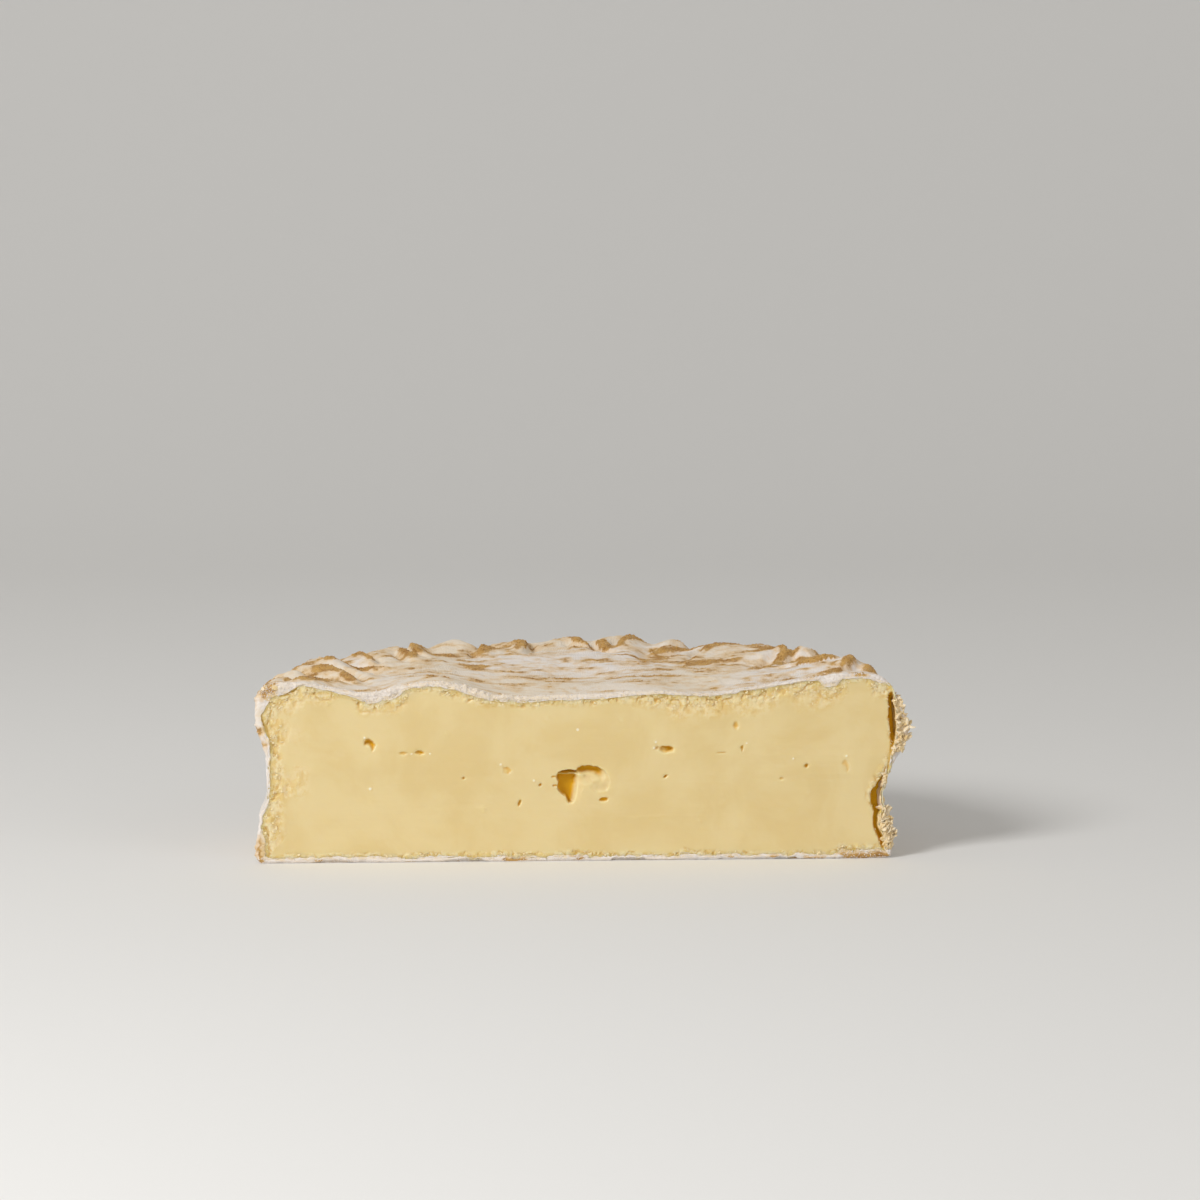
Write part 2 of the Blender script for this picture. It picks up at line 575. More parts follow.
def cut_edge_mesh(settings):
    """Points, faces and masks of the rind's cut edge: a frayed ring round the cut."""
    fold_height = settings.fold_height / MM
    outline = cut_outline(fold_height)
    edge, thick, fray = outline["edge"], outline["thick"], outline["fray"]
    normal = np.insert(outline["normal"], 1, 0.0, axis=1)
    outward = np.insert(outline["outward"], 1, 0.0, axis=1)
    flat = edge.copy()
    flat[:, 1] = CUT_Y
    lifts = 0.45 * ease(layered(flat, (5.5, 1.0, 1.0), 231), 0.05, 0.5) * outline["lower"]
    spikes = np.maximum(ridged(flat, 1.5, 221), 0.0) ** 2 + 0.5 * np.maximum(ridged(flat, 0.6, 222), 0.0)
    outer_lift = 0.75 * fray * (spikes - 0.50) * (1.0 - outline["lower"]) - lifts
    rows = [edge]
    across = [np.zeros(EDGE_COLUMNS)]
    for share in 0.5 + 0.5 * np.cos(np.linspace(0.0, math.pi, CUT_ROWS)):
        row = flat + (share * outer_lift)[:, None] * normal - (thick * (1.0 - share))[:, None] * outward
        shelf_place = np.stack([outline["place"], 8.0 * (1.0 - share) * thick, 0.0 * thick], 1)
        relief = 0.08 * layered(shelf_place, (7.0, 1.6, 9.0), 251, 2)
        relief += (0.05 + 0.24 * fray) * layered(row, (1.3, 1.0, 1.0), 241) * ease(share, -0.1, 0.4)
        chunks = 0.26 * np.maximum(fray - 0.2, 0.1) * layered(row, (0.75, 1.0, 0.5), 245, 2)
        rounding = 0.34 * share**6 + 0.04 * (1.0 - share) ** 4
        row[:, 1] += rounding + relief + chunks - 0.10 + 2.0 * outline["hook"] + 0.5 * outline["gap"] * share
        rows.append(row)
        across.append(np.full(EDGE_COLUMNS, 1.0 - share))
    for depth in (0.7, 1.8, 3.4):
        row = flat - (thick - 0.02 * depth)[:, None] * outward
        row[:, 1] = CUT_Y + depth
        rows.append(row)
        across.append(np.ones(EDGE_COLUMNS))
    points = np.concatenate(rows)
    points[:, 2] = np.maximum(points[:, 2], 0.0)
    faces = turned(grid_faces(len(rows), EDGE_COLUMNS, closed=True))
    columns = np.arange(EDGE_COLUMNS)
    last = (len(rows) - 1) * EDGE_COLUMNS + columns
    faces += ring_faces(last[::-1].tolist(), columns[::-1].tolist())

    def all_rows(values):
        return np.tile(values, len(rows))

    _, masks = rind_relief(points, all_rows(np.clip(outline["normal"][:, 1], 0.0, 1.0)), fold_height)
    across = np.concatenate(across)
    patchy = 0.6 + 0.8 * noise(points, 1.6, 261)
    low_strip, frayed, hooked = map(all_rows, (outline["lower"], fray, outline["hook"]))
    tanned = 0.55 * ease(layered(points, (3.4, 1.0, 1.0), 265), 0.05, 0.55)
    worn = masks["worn"] - 0.15 + low_strip * (tanned - 0.10)
    worn = np.clip(worn + all_rows(outline["worn"]) * patchy, 0.0, 1.0)
    masks["worn"] = worn + hooked * (across > 0.0)
    masks["across"] = across
    masks["torn"] = np.clip(frayed, 0.0, 1.0)
    masks["fray"] = frayed * (across > 0.02) * (across < 0.98) * (1.0 - hooked)
    masks["feather"] = frayed * (across < 0.12) * (1.0 - low_strip)
    masks["fuzz"] = (all_rows(outline["upper"]) + 0.55 * low_strip) * (across < 0.9)
    return points, faces, masks


# ---- the paste ------------------------------------------------------------------------------
# Open eyes: place from the wheel's axis and the underside, half width, half height, depth, tilt, and
# how much of the eye a lump on its lower left fills.
EYES = (
    (-34.7, 20.0, 0.85, 1.15, 1.0, 0.5, 1.0),
    (-29.1, 18.6, 1.00, 0.24, 0.3, 0.05, 0.0),
    (-26.3, 18.7, 0.85, 0.33, 0.6, -0.05, 0.3),
    (-18.8, 14.3, 0.30, 0.24, 0.5, 0.4, 0.0),
    (-11.6, 15.5, 0.85, 0.80, 0.3, 0.0, 0.6),
    (-5.9, 13.0, 0.32, 0.28, 0.5, 0.0, 0.0),
    (-9.4, 10.1, 0.28, 0.62, 0.6, -0.3, 0.0),
    (15.3, 19.0, 1.55, 0.64, 1.2, -0.12, 0.4),
    (15.2, 14.3, 0.60, 0.26, 0.5, 0.7, 0.0),
    (24.7, 18.3, 0.80, 0.16, 0.25, 0.0, 0.0),
    (28.2, 19.0, 0.22, 0.75, 0.5, 0.0, 0.0),
    (27.1, 23.0, 0.62, 0.90, 0.35, 0.2, 0.0),
    (39.1, 15.9, 0.32, 0.45, 0.6, -0.4, 0.0),
    (45.7, 15.8, 0.60, 1.20, 0.22, 0.3, 0.8),
    (34.9, 13.8, 0.45, 0.30, 0.25, 0.0, 0.0),
    (4.8, 10.5, 0.72, 0.34, 0.6, 0.15, 0.0),
    (-3.6, 14.4, 0.50, 0.20, 0.35, 0.0, 0.0),
    (-3.4, 12.9, 0.40, 0.18, 0.35, 0.0, 0.0),
)
# The cavity: its centre, and how far its edge lies at angles counter-clockwise from the right.
CAVITY = (0.6, 13.4)
CAVITY_ANGLES = (4, 24, 46, 72, 90, 107, 155, 180, 196, 228, 244, 252, 270, 300, 330, 350)
CAVITY_REACHES = (5.6, 4.8, 3.9, 2.85, 2.5, 2.1, 3.95, 3.6, 3.7, 3.3, 3.85, 3.5, 3.3, 3.8, 4.6, 5.2)
# Small proud lumps: where, how wide and how high. The narrow ones beside the eyes catch the light.
LUMPS = (
    (-34.6, 12.6, 0.30, 0.16), (-15.6, 9.0, 0.55, 0.10), (25.0, 9.6, 0.60, 0.10), (-4.6, 24.6, 0.55, 0.08),
    (10.6, 7.2, 0.50, 0.08), (39.6, 11.4, 0.50, 0.08), (-35.5, 21.3, 0.24, 0.22), (-27.6, 18.5, 0.20, 0.18),
    (-24.5, 18.5, 0.20, 0.18), (13.6, 20.2, 0.24, 0.20), (13.3, 19.2, 0.22, 0.20), (-7.0, 13.8, 0.25, 0.14),
    (45.9, 17.6, 0.25, 0.18), (29.0, 19.9, 0.20, 0.12), (36.9, 17.2, 0.22, 0.12), (-12.6, 16.6, 0.25, 0.14),
    (0.4, 22.4, 0.30, 0.08), (-21.4, 22.0, 0.35, 0.08), (8.0, 24.0, 0.35, 0.08), (21.0, 6.6, 0.35, 0.08),
)


def eye_depths(x, z, wobble):
    """Depth of the open eyes below the cut, and how far into one each point lies."""
    depth = np.zeros(len(x))
    inside = np.zeros(len(x))
    for at_x, at_z, half_width, half_height, deep, tilt, moon in EYES:
        dx, dz = x - AXIS_X - at_x, z - at_z
        a = (dx * math.cos(tilt) + dz * math.sin(tilt)) / half_width
        b = (dz * math.cos(tilt) - dx * math.sin(tilt)) / half_height
        reach = 1.0 - np.hypot(a, b) + 0.30 * wobble
        hole = ease(reach, -0.05, 0.45)
        hole *= 1.0 - moon * ease(1.0 - np.hypot(a + 0.55, b + 0.35) / 0.95, 0.0, 0.5)
        depth = np.maximum(depth, deep * hole)
        inside = np.maximum(inside, hole * min(1.0, 1.9 * deep))
        depth -= 0.05 * bell(reach + 0.35, 0.22)
    return depth, inside


def cavity_depth(x, z, flat_points):
    """Depth of the large cavity, and how far inside its open part each point lies.

    It is deep at its left and under its top edge, and a pale lump fills the rest.
    """
    dx, dz = x - AXIS_X - CAVITY[0], z - CAVITY[1]
    angle = np.degrees(np.arctan2(dz, dx)) % 360.0
    edge = np.interp(angle, CAVITY_ANGLES, CAVITY_REACHES, period=360.0)
    ragged = 0.22 * layered(flat_points, 1.3, 301) + 0.08 * noise(flat_points, 0.45, 305)
    reach = edge - np.hypot(dx, dz) + ragged
    hole = ease(reach, -0.05, 0.30)
    left = 1.0 - ease(dx + 0.7 - 0.17 * np.minimum(dz - 1.4, 0.0) + 0.8 * ragged, -0.2, 0.9)
    under_top = (1.0 - ease(reach, 0.80, 2.30)) * ease(dz + 0.35 * dx, 1.3, 2.3) * (1.0 - ease(dx, 3.2, 4.6))
    ledge = bell(dz - 1.35 - 0.5 * ragged, 0.16) * (dx < 0.0)
    open_part = np.maximum(left, 0.62 * under_top) * (1.0 - 0.75 * ledge)
    lump = 0.30 * layered(flat_points, 2.4, 311) + 0.20 * noise(flat_points, 1.0, 315)
    floor_depth = 2.3 * open_part + (1.0 - open_part) * np.maximum(0.25 + 0.10 * dz + lump, 0.0)
    lip = 0.12 * bell(reach + 0.15, 0.14)
    inside = hole * ease(np.maximum(left, under_top) * (1.0 - 0.5 * ledge), 0.25, 0.95)
    return hole * floor_depth - lip, inside


def graded(count, centre, spread, extra):
    """Shares from 0 to 1 that lie closer together about a centre."""
    t = np.linspace(0.0, 1.0, 2000)
    density = 1.0 + extra * np.exp(-(((t - centre) / spread) ** 2))
    total = np.concatenate([[0.0], np.cumsum(0.5 * (density[1:] + density[:-1]))])
    return np.interp(np.linspace(0.0, 1.0, count + 1), total / total[-1], t)


def paste_grid(loop, width):
    """An even grid inside the loop: smooth within, and following the ragged loop at its border."""
    smooth = blur_loop(loop, 500)
    half_width = 0.5 * width

    def corner(side_x, side_z):
        return int(np.argmax(side_x * smooth[:, 0] / half_width + side_z * 1.8 * smooth[:, 1] / HEIGHT))

    sides = ((-1, -1), (1, -1), (1, 1), (-1, 1))
    lower_left, lower_right, upper_right, upper_left = (corner(*side) for side in sides)
    count = len(loop)

    def stretch(start, end, shares):
        """Loop places from start to end at even shares of the smoothed loop's length."""
        places = np.linspace(start, end, abs(end - start) + 1)
        steps = np.linalg.norm(np.diff(smooth[places.astype(int) % count], axis=0), axis=1)
        return np.interp(shares, np.concatenate([[0.0], np.cumsum(steps)]) / steps.sum(), places)

    def after(start, end):
        return end + count if end < start else end

    lower_right = after(lower_left, lower_right)
    upper_right = after(lower_right, upper_right)
    upper_left = after(upper_right, upper_left)
    centre = (AXIS_X + CAVITY[0] - smooth[:, 0].min()) / width
    across = graded(PASTE_ACROSS, centre, 0.07, 0.8)
    up = graded(PASTE_UP, CAVITY[1] / HEIGHT, 0.2, 0.3)
    bottom = stretch(lower_left, lower_right, across)
    top = stretch(upper_left, upper_right, across)
    left = stretch(lower_left + count, upper_left, up)
    right = stretch(lower_right, upper_right, up)
    places = ((bottom, top), (left, right))
    grid = blend_sides(smooth, places, (1.0 - across, across), (1.0 - up, up))

    def near_ends(shares, size, border):
        return [(1.0 - np.minimum(share * size / border, 1.0)) ** 2 for share in (shares, 1.0 - shares)]

    weights = near_ends(across, width, BORDER_ACROSS), near_ends(up, HEIGHT, BORDER_UP)
    return grid + blend_sides(loop - smooth, places, *weights)


def blend_sides(loop, places, weights_x, weights_z):
    """A grid blended from the four sides of a loop of vectors, by each side's weight."""
    closed = np.concatenate([loop, loop[:1]])
    numbers = np.arange(len(loop) + 1)

    def at(where):
        return np.stack([np.interp(where % len(loop), numbers, closed[:, k]) for k in range(2)], -1)

    (bottom, top), (left, right) = places
    bottom, top, left, right = at(bottom), at(top), at(left), at(right)
    a0, a1 = (w[None, :, None] for w in weights_x)
    b0, b1 = (w[:, None, None] for w in weights_z)
    corners = a0 * b0 * bottom[0] + a1 * b0 * bottom[-1] + a0 * b1 * top[0] + a1 * b1 * top[-1]
    return b0 * bottom[None] + b1 * top[None] + a0 * left[:, None] + a1 * right[:, None] - corners


def paste_mesh(settings, fold_height):
    """Points, faces and masks of the paste: its cut face with eyes, on a slab that fills the recess."""
    outline = cut_outline(fold_height)
    gap = outline["gap"]
    loop = outline["line"] - (outline["thick"] - OVERLAP)[:, None] * outline["outward"]
    loop = blur_loop(loop, 2)
    width = loop[:, 0].max() - loop[:, 0].min()
    grid = paste_grid(loop, width)
    x, z = grid[..., 0].ravel(), grid[..., 1].ravel()
    flat_points = np.stack([x, np.zeros(len(x)), z], 1)

    nearest, distance = nearest_places(loop, flat_points[:, [0, 2]])
    seen = distance - OVERLAP
    band = outline["crumbly"][nearest] * (1.0 + 0.5 * noise(flat_points, 3.0, 321))
    past_gap = seen - gap[nearest]
    torn = np.flatnonzero(outline["torn_side"] > 0.5)
    torn = torn[np.argsort(loop[torn, 1])]
    steps = np.linspace(loop[torn[0], 1], loop[torn[-1], 1], TORN_STEPS)
    ends = np.interp(z, steps, np.interp(steps, loop[torn, 1], loop[torn, 0] - OVERLAP - gap[torn]))
    to_end = ends + 0.10 * layered(flat_points, 0.9, 325) - x
    past_gap += outline["torn_side"][nearest] * (to_end - past_gap)
    crumbly = 1.0 - ease(past_gap, 0.25 * band, np.maximum(band, 0.3))

    wobble = layered(flat_points, 0.9, 331, 2)
    depth, inside = eye_depths(x, z, wobble)
    cavity, cavity_inside = cavity_depth(x, z, flat_points)
    tall = flat_points.copy()
    upright = ease(np.abs(outline["normal"][nearest, 0]), 0.5, 0.9)
    tall[:, 2] *= 1.0 - 0.45 * upright
    rough = 0.55 * layered(tall, 1.7, 341) + 0.75 * layered(tall, 0.62, 345, 2)
    by_rind = 1.0 - ease(past_gap, 0.6, 2.8)
    pits = ease(ridged(tall + 0.4 * rough[:, None], (1.5, 1.0, 2.0), 351), 0.66, 0.96) * (0.2 + 0.8 * by_rind)
    crack_here = outline["crack"][nearest] * ease(0.3 + noise(flat_points, 2.6, 355), 0.0, 0.6)
    crack = crack_here * bell(seen - 0.25 - 0.45 * noise(flat_points, 2.2, 357), 0.26 + 0.10 * wobble)
    drag = layered(flat_points, (26.0, 1.0, 0.8), 361)
    swell = layered(flat_points, (13.0, 1.0, 7.0), 371)
    level = 0.06 * swell + 0.012 * drag + 0.02 * layered(flat_points, 2.2, 381)
    crumb_depth = settings.crumb_depth / MM
    level += crumbly * crumb_depth * (0.65 * rough + 1.1 * pits) * ease(past_gap, -0.1, 0.7)
    level += 0.25 * crack
    open_gap = ease(gap[nearest], 0.15, 0.5) * ease(seen, -0.1, 0.15) * (1.0 - ease(past_gap, -0.15, 0.2))
    level += open_gap * TORN_DEPTH * ease(gap[nearest], 0.0, 1.2)
    glint = np.zeros(len(x))
    for lump_x, lump_z, wide, high in LUMPS:
        lump = bell(np.hypot(x - AXIS_X - lump_x, z - lump_z), wide)
        level -= high * lump * (0.8 + 0.4 * wobble)
        glint = np.maximum(glint, lump * (wide < 0.31))
    depth = np.maximum(depth, cavity) + level
    front = np.stack([x, CUT_Y + depth, z], 1)

    rows, columns = PASTE_UP + 1, PASTE_ACROSS + 1
    number = np.arange(rows * columns).reshape(rows, columns)
    faces = grid_faces(rows, columns)
    border = np.concatenate([number[0, :-1], number[:-1, -1], number[-1, :0:-1], number[:0:-1, 0]])
    inward = outline["outward"][nearest[border]]
    points = add_slab(front, faces, border, [
        (SLAB_TAPER * ease(depth, 0.0, PASTE_DEPTH) * inward, depth) for depth in (1.2, 3.0, PASTE_DEPTH)
    ])
    points[:, 2] = np.maximum(points[:, 2], PASTE_FOOT)
    masks = {
        "crumbly": crumbly,
        "cracks": np.clip(crumbly * (0.65 * pits + 0.40 * ease(rough, 0.0, 0.8)) + crack, 0.0, 1.0),
        "hole": np.maximum(np.maximum(inside, cavity_inside), open_gap),
        "wet": np.maximum(glint, 0.3 * cavity_inside),
        "crumbs": crumbly * (1.0 - open_gap) * (seen > 0.1),
    }
    return points, faces, extended(masks, len(points), 0.4)


# ---- nodes ----------------------------------------------------------------------------------
# Texture scales, in lumps per metre.
BEAD_SCALE, FIBRE_SCALE, SPECK_SCALE, COARSE_SCALE = 2900.0, 3800.0, 1500.0, 520.0
FELT_SCALE, RAW_SCALE, CRUMB_SCALE, PASTE_SCALE = 850.0, 900.0, 800.0, 75.0
RIPPLE_SCALE, KNIFE_SCALE, BROAD_KNIFE_SCALE, RAGGED_SCALE = 1150.0, 900.0, 220.0, 2600.0
HALF_TURN = 3.1  # a little under pi, so that a random turn about a grain's own axis covers the circle
GLINT_COLOUR = (0.92, 0.87, 0.72)
GROUPS = {}


class Nodes:
    """Adds nodes to one tree. An input is a plain value or another node's output."""

    def __init__(self, tree):
        self.tree = tree

    def fill(self, node, inputs):
        for key, value in inputs.items():
            if isinstance(value, bpy.types.NodeSocket):
                self.tree.links.new(value, node.inputs[key])
            else:
                node.inputs[key].default_value = value
        return node.outputs

    def add(self, kind, inputs=None, **settings):
        """The outputs of a new node with these settings and inputs."""
        node = self.tree.nodes.new(kind)
        for key, value in settings.items():
            setattr(node, key, value)
        return self.fill(node, inputs or {})

    def maths(self, operation, *values):
        return self.add("ShaderNodeMath", dict(enumerate(values)), operation=operation)[0]

    def times(self, first, second):
        return self.maths("MULTIPLY", first, second)

    def plus(self, first, second):
        return self.maths("ADD", first, second)

    def vectors(self, operation, first, second):
        """Vector maths. The second input of SCALE is a number."""
        second_key = "Scale" if operation == "SCALE" else 1
        return self.add("ShaderNodeVectorMath", {0: first, second_key: second}, operation=operation)[0]

    def between(self, share, low, high):
        """Runs evenly from low to high as the share runs from 0 to 1."""
        return self.add("ShaderNodeMapRange", {"Value": share, "To Min": low, "To Max": high})[0]

    def fade(self, value, low, high):
        """0 at low, 1 at high, and smooth between them."""
        ends = {"Value": value, "From Min": low, "From Max": high, "To Min": 0.0, "To Max": 1.0}
        return self.add("ShaderNodeMapRange", ends, interpolation_type="SMOOTHSTEP")[0]

    def blend(self, share, first, second, amount=None):
        """A colour between two, by the share, which amount scales down."""
        if amount is not None:
            share = self.times(share, amount)
        first, second = (c if isinstance(c, bpy.types.NodeSocket) else (*c, 1.0) for c in (first, second))
        return self.add("ShaderNodeMix", {0: share, 6: first, 7: second}, data_type="RGBA")[2]

    def lumps(self, where, scale, detail=2.0, roughness=0.5, distortion=0.0):
        inputs = {"Scale": scale, "Detail": detail, "Roughness": roughness, "Distortion": distortion}
        return self.add("ShaderNodeTexNoise", {"Vector": where, **inputs})[0]

    def attribute(self, name):
        return self.add("ShaderNodeAttribute", attribute_name=name)["Fac"]

    def shared(self, name, inputs):
        return self.add("ShaderNodeGroup", inputs, node_tree=GROUPS[name])

    def bump(self, height, strength, distance):
        return self.add("ShaderNodeBump", {"Height": height, "Strength": strength, "Distance": distance})[0]


def group(name, kind, inputs, outputs):
    """An empty node group with named inputs and outputs: its nodes, what it is given and its end."""
    tree = bpy.data.node_groups.new(name, kind)
    for key, (socket_kind, default) in inputs.items():
        socket = tree.interface.new_socket(key, in_out="INPUT", socket_type="NodeSocket" + socket_kind)
        if default is not None:
            socket.default_value = default
    for key, socket_kind in outputs.items():
        tree.interface.new_socket(key, in_out="OUTPUT", socket_type="NodeSocket" + socket_kind)
    return Nodes(tree), tree.nodes.new("NodeGroupInput").outputs, tree.nodes.new("NodeGroupOutput")


def grain_group():
    """Fine beads and fibres, which the rind and the crumbly paste both have."""
    nodes, given, end = group(
        "Dairy Grain", "ShaderNodeTree",
        {"Vector": ("Vector", None), "Beads": ("Float", 1.0), "Fibres": ("Float", 1.0)},
        {"Height": "Float", "Speck": "Float", "Bead": "Float"},
    )
    where = given["Vector"]
    cells = {"Vector": where, "Scale": BEAD_SCALE, "Smoothness": 0.35}
    beads = nodes.add("ShaderNodeTexVoronoi", cells, feature="SMOOTH_F1")["Distance"]
    height = nodes.times(nodes.maths("SUBTRACT", 0.55, beads), given["Beads"])
    fibres = nodes.lumps(where, FIBRE_SCALE, 2.0, 0.6, 1.2)
    height = nodes.plus(height, nodes.times(fibres, given["Fibres"]))
    nodes.fill(end, {
        "Height": nodes.plus(height, nodes.times(nodes.lumps(where, COARSE_SCALE, 3.0, 0.6), 1.1)),
        "Speck": nodes.fade(nodes.lumps(where, SPECK_SCALE, 3.0, 0.6), 0.42, 0.62),
        "Bead": nodes.fade(beads, 0.50, 0.12),
    })
    return nodes.tree


def ripples_group():
    """Fine parallel wrinkles of drying bloom, which bend round the lumps."""
    nodes, given, end = group(
        "Bloom Ripples", "ShaderNodeTree",
        {"Vector": ("Vector", None), "Amount": ("Float", 1.0)}, {"Height": "Float"},
    )
    bends = {"Scale": RIPPLE_SCALE, "Distortion": 16.0, "Detail": 2.0, "Detail Scale": 0.16}
    wave = nodes.add(
        "ShaderNodeTexWave", {"Vector": given["Vector"], **bends}, wave_type="BANDS", bands_direction="X"
    )
    nodes.fill(end, {"Height": nodes.times(wave["Fac"], given["Amount"])})
    return nodes.tree


def cut_lines_group():
    """The faint level lines that a knife drags through soft paste."""
    nodes, given, end = group(
        "Knife Lines", "ShaderNodeTree",
        {"Vector": ("Vector", None), "Amount": ("Float", 1.0)}, {"Height": "Float"},
    )
    drawn_out = {"Vector": given["Vector"], "Scale": (0.05, 1.0, 1.0), "Rotation": (0.0, 0.012, 0.0)}
    squeezed = nodes.add("ShaderNodeMapping", drawn_out)[0]
    broad = nodes.lumps(squeezed, BROAD_KNIFE_SCALE, 2.0, 0.5)
    height = nodes.plus(nodes.lumps(squeezed, KNIFE_SCALE, 4.0, 0.55), nodes.times(broad, 1.6))
    nodes.fill(end, {"Height": nodes.times(height, given["Amount"])})
    return nodes.tree


def new_material(name):
    """A material, its nodes, its shader and the place on the object."""
    material = bpy.data.materials.new(name)
    material.use_nodes = True
    nodes = Nodes(material.node_tree)
    return material, nodes, nodes.tree.nodes["Principled BSDF"], nodes.add("ShaderNodeTexCoord")["Object"]


def rind_material(name, settings, cut_edge):
    """Bloomy rind: white felt, peach where it is thin, and beady tan where it is worn off."""
    material, nodes, shader, where = new_material(name)
    times, plus, fade, blend, lumps = nodes.times, nodes.plus, nodes.fade, nodes.blend, nodes.lumps
    worn, cream, cool, ripply = map(nodes.attribute, ("worn", "cream", "cool", "ripples"))
    grain = nodes.shared("grain", {"Vector": where, "Beads": 1.0, "Fibres": 0.7})
    ripples = nodes.shared("ripples", {"Vector": where, "Amount": ripply})

    felt = nodes.maths("SUBTRACT", lumps(where, FELT_SCALE, 4.0, 0.68), 0.5)
    broken = plus(worn, times(felt, 0.62))
    thin, bare = fade(broken, 0.34, 0.66), fade(broken, 0.60, 0.80)
    tone = fade(lumps(where, 420.0, 3.0, 0.6), 0.35, 0.68)
    tan = blend(tone, settings.worn_colour, settings.deep_worn_colour)
    tan = blend(grain["Bead"], tan, settings.gold_colour, 0.40)
    bloom = blend(cream, settings.bloom_colour, settings.cream_colour, 0.65)
    bloom = blend(cool, bloom, settings.cool_colour, 0.5)
    faint = fade(lumps(where, 230.0, 3.0, 0.6), 0.42, 0.72)
    bloom = blend(faint, bloom, settings.cream_colour, 0.35)
    colour = blend(bare, blend(thin, bloom, settings.peach_colour, 0.72), tan)
    if cut_edge:
        across, torn = nodes.attribute("across"), nodes.attribute("torn")
        patches = lumps(where, RAW_SCALE, 3.0)
        pale = blend(fade(patches, 0.40, 0.62), settings.cream_colour, settings.bloom_colour)
        pale = blend(bare, pale, settings.gold_colour, 0.55)
        raw = times(fade(patches, 0.28, 0.54), fade(torn, 0.45, 1.0))
        pale = blend(raw, pale, settings.torn_colour, 0.85)
        share = plus(plus(across, times(felt, 0.8)), times(fade(torn, 0.7, 1.0), 0.6))
        colour = blend(fade(share, 0.45, 0.75), colour, pale)
        depth = nodes.add("ShaderNodeSeparateXYZ", {"Vector": where})["Y"]
        inward = fade(depth, (CUT_Y + 0.6) * MM, (CUT_Y + 2.2) * MM)
        colour = blend(times(inward, fade(across, 0.90, 0.99)), colour, settings.gold_colour)

    height = plus(times(grain["Height"], plus(0.55, times(bare, 0.6))), ripples["Height"])
    nodes.fill(shader, {
        "Base Color": colour,
        "Roughness": nodes.between(bare, 0.92, 0.62),
        "Normal": nodes.bump(height, 0.75, 0.00012),
        "Subsurface Weight": 0.15,
        "Subsurface Radius": (1.0, 0.9, 0.8),
        "Subsurface Scale": 0.0003,
        "Specular IOR Level": 0.3,
        "Sheen Weight": 0.08,
        "Sheen Roughness": 0.6,
    })
    return material


def torn_material(name, pale, deeper, speck):
    """Raw shreds and crumbs: pale, deeper in places, and specked."""
    material, nodes, shader, where = new_material(name)
    patches = nodes.fade(nodes.lumps(where, 700.0, 3.0, 0.6), 0.38, 0.66)
    specks = nodes.fade(nodes.lumps(where, 2400.0, 2.0), 0.48, 0.70)
    colour = nodes.blend(specks, nodes.blend(patches, pale, deeper), speck, 0.5)
    nodes.fill(shader, {"Base Color": colour, "Roughness": 0.75, "Specular IOR Level": 0.3})
    return material


def paste_material(settings):
    """Soft paste: waxy and slightly translucent, crumbly beside the rind and golden in its eyes."""
    material, nodes, shader, where = new_material("cut_paste")
    times, plus, fade, blend, lumps = nodes.times, nodes.plus, nodes.fade, nodes.blend, nodes.lumps
    crumbly, cracks, hole, wet = map(nodes.attribute, ("crumbly", "cracks", "hole", "wet"))
    grain = nodes.shared("grain", {"Vector": where, "Beads": 0.5, "Fibres": 0.3})
    lines = nodes.shared("lines", {"Vector": where, "Amount": 1.0})

    broad = fade(lumps(where, PASTE_SCALE, 4.0, 0.6, 0.4), 0.38, 0.64)
    colour = blend(broad, settings.paste_colour, settings.paste_shade)
    flecks = fade(lumps(where, CRUMB_SCALE, 3.0, 0.65), 0.40, 0.62)
    colour = blend(crumbly, colour, blend(flecks, settings.crumb_shade, settings.crumb_colour), 0.85)
    colour = blend(cracks, colour, settings.crack_colour, 0.9)
    colour = blend(hole, colour, settings.hole_colour, 0.96)
    colour = blend(fade(wet, 0.35, 0.75), colour, GLINT_COLOUR, 0.8)

    height = plus(times(lines["Height"], 0.5), times(grain["Height"], plus(0.10, crumbly)))
    outside = nodes.maths("SUBTRACT", 1.0, hole)  # less light bleeds into the eyes, so they keep their colour
    nodes.fill(shader, {
        "Base Color": colour,
        "Roughness": nodes.maths("SUBTRACT", nodes.between(crumbly, 0.42, 0.68), times(wet, 0.22)),
        "Normal": nodes.bump(height, 0.6, 0.0001),
        "Specular IOR Level": nodes.maths("MULTIPLY_ADD", outside, 0.25, 0.10),
        "Subsurface Weight": nodes.maths("MULTIPLY_ADD", outside, 0.55, 0.30),
        "Subsurface Radius": (1.0, 0.90, 0.70),
        "Subsurface Scale": 0.0018,
    })
    return material


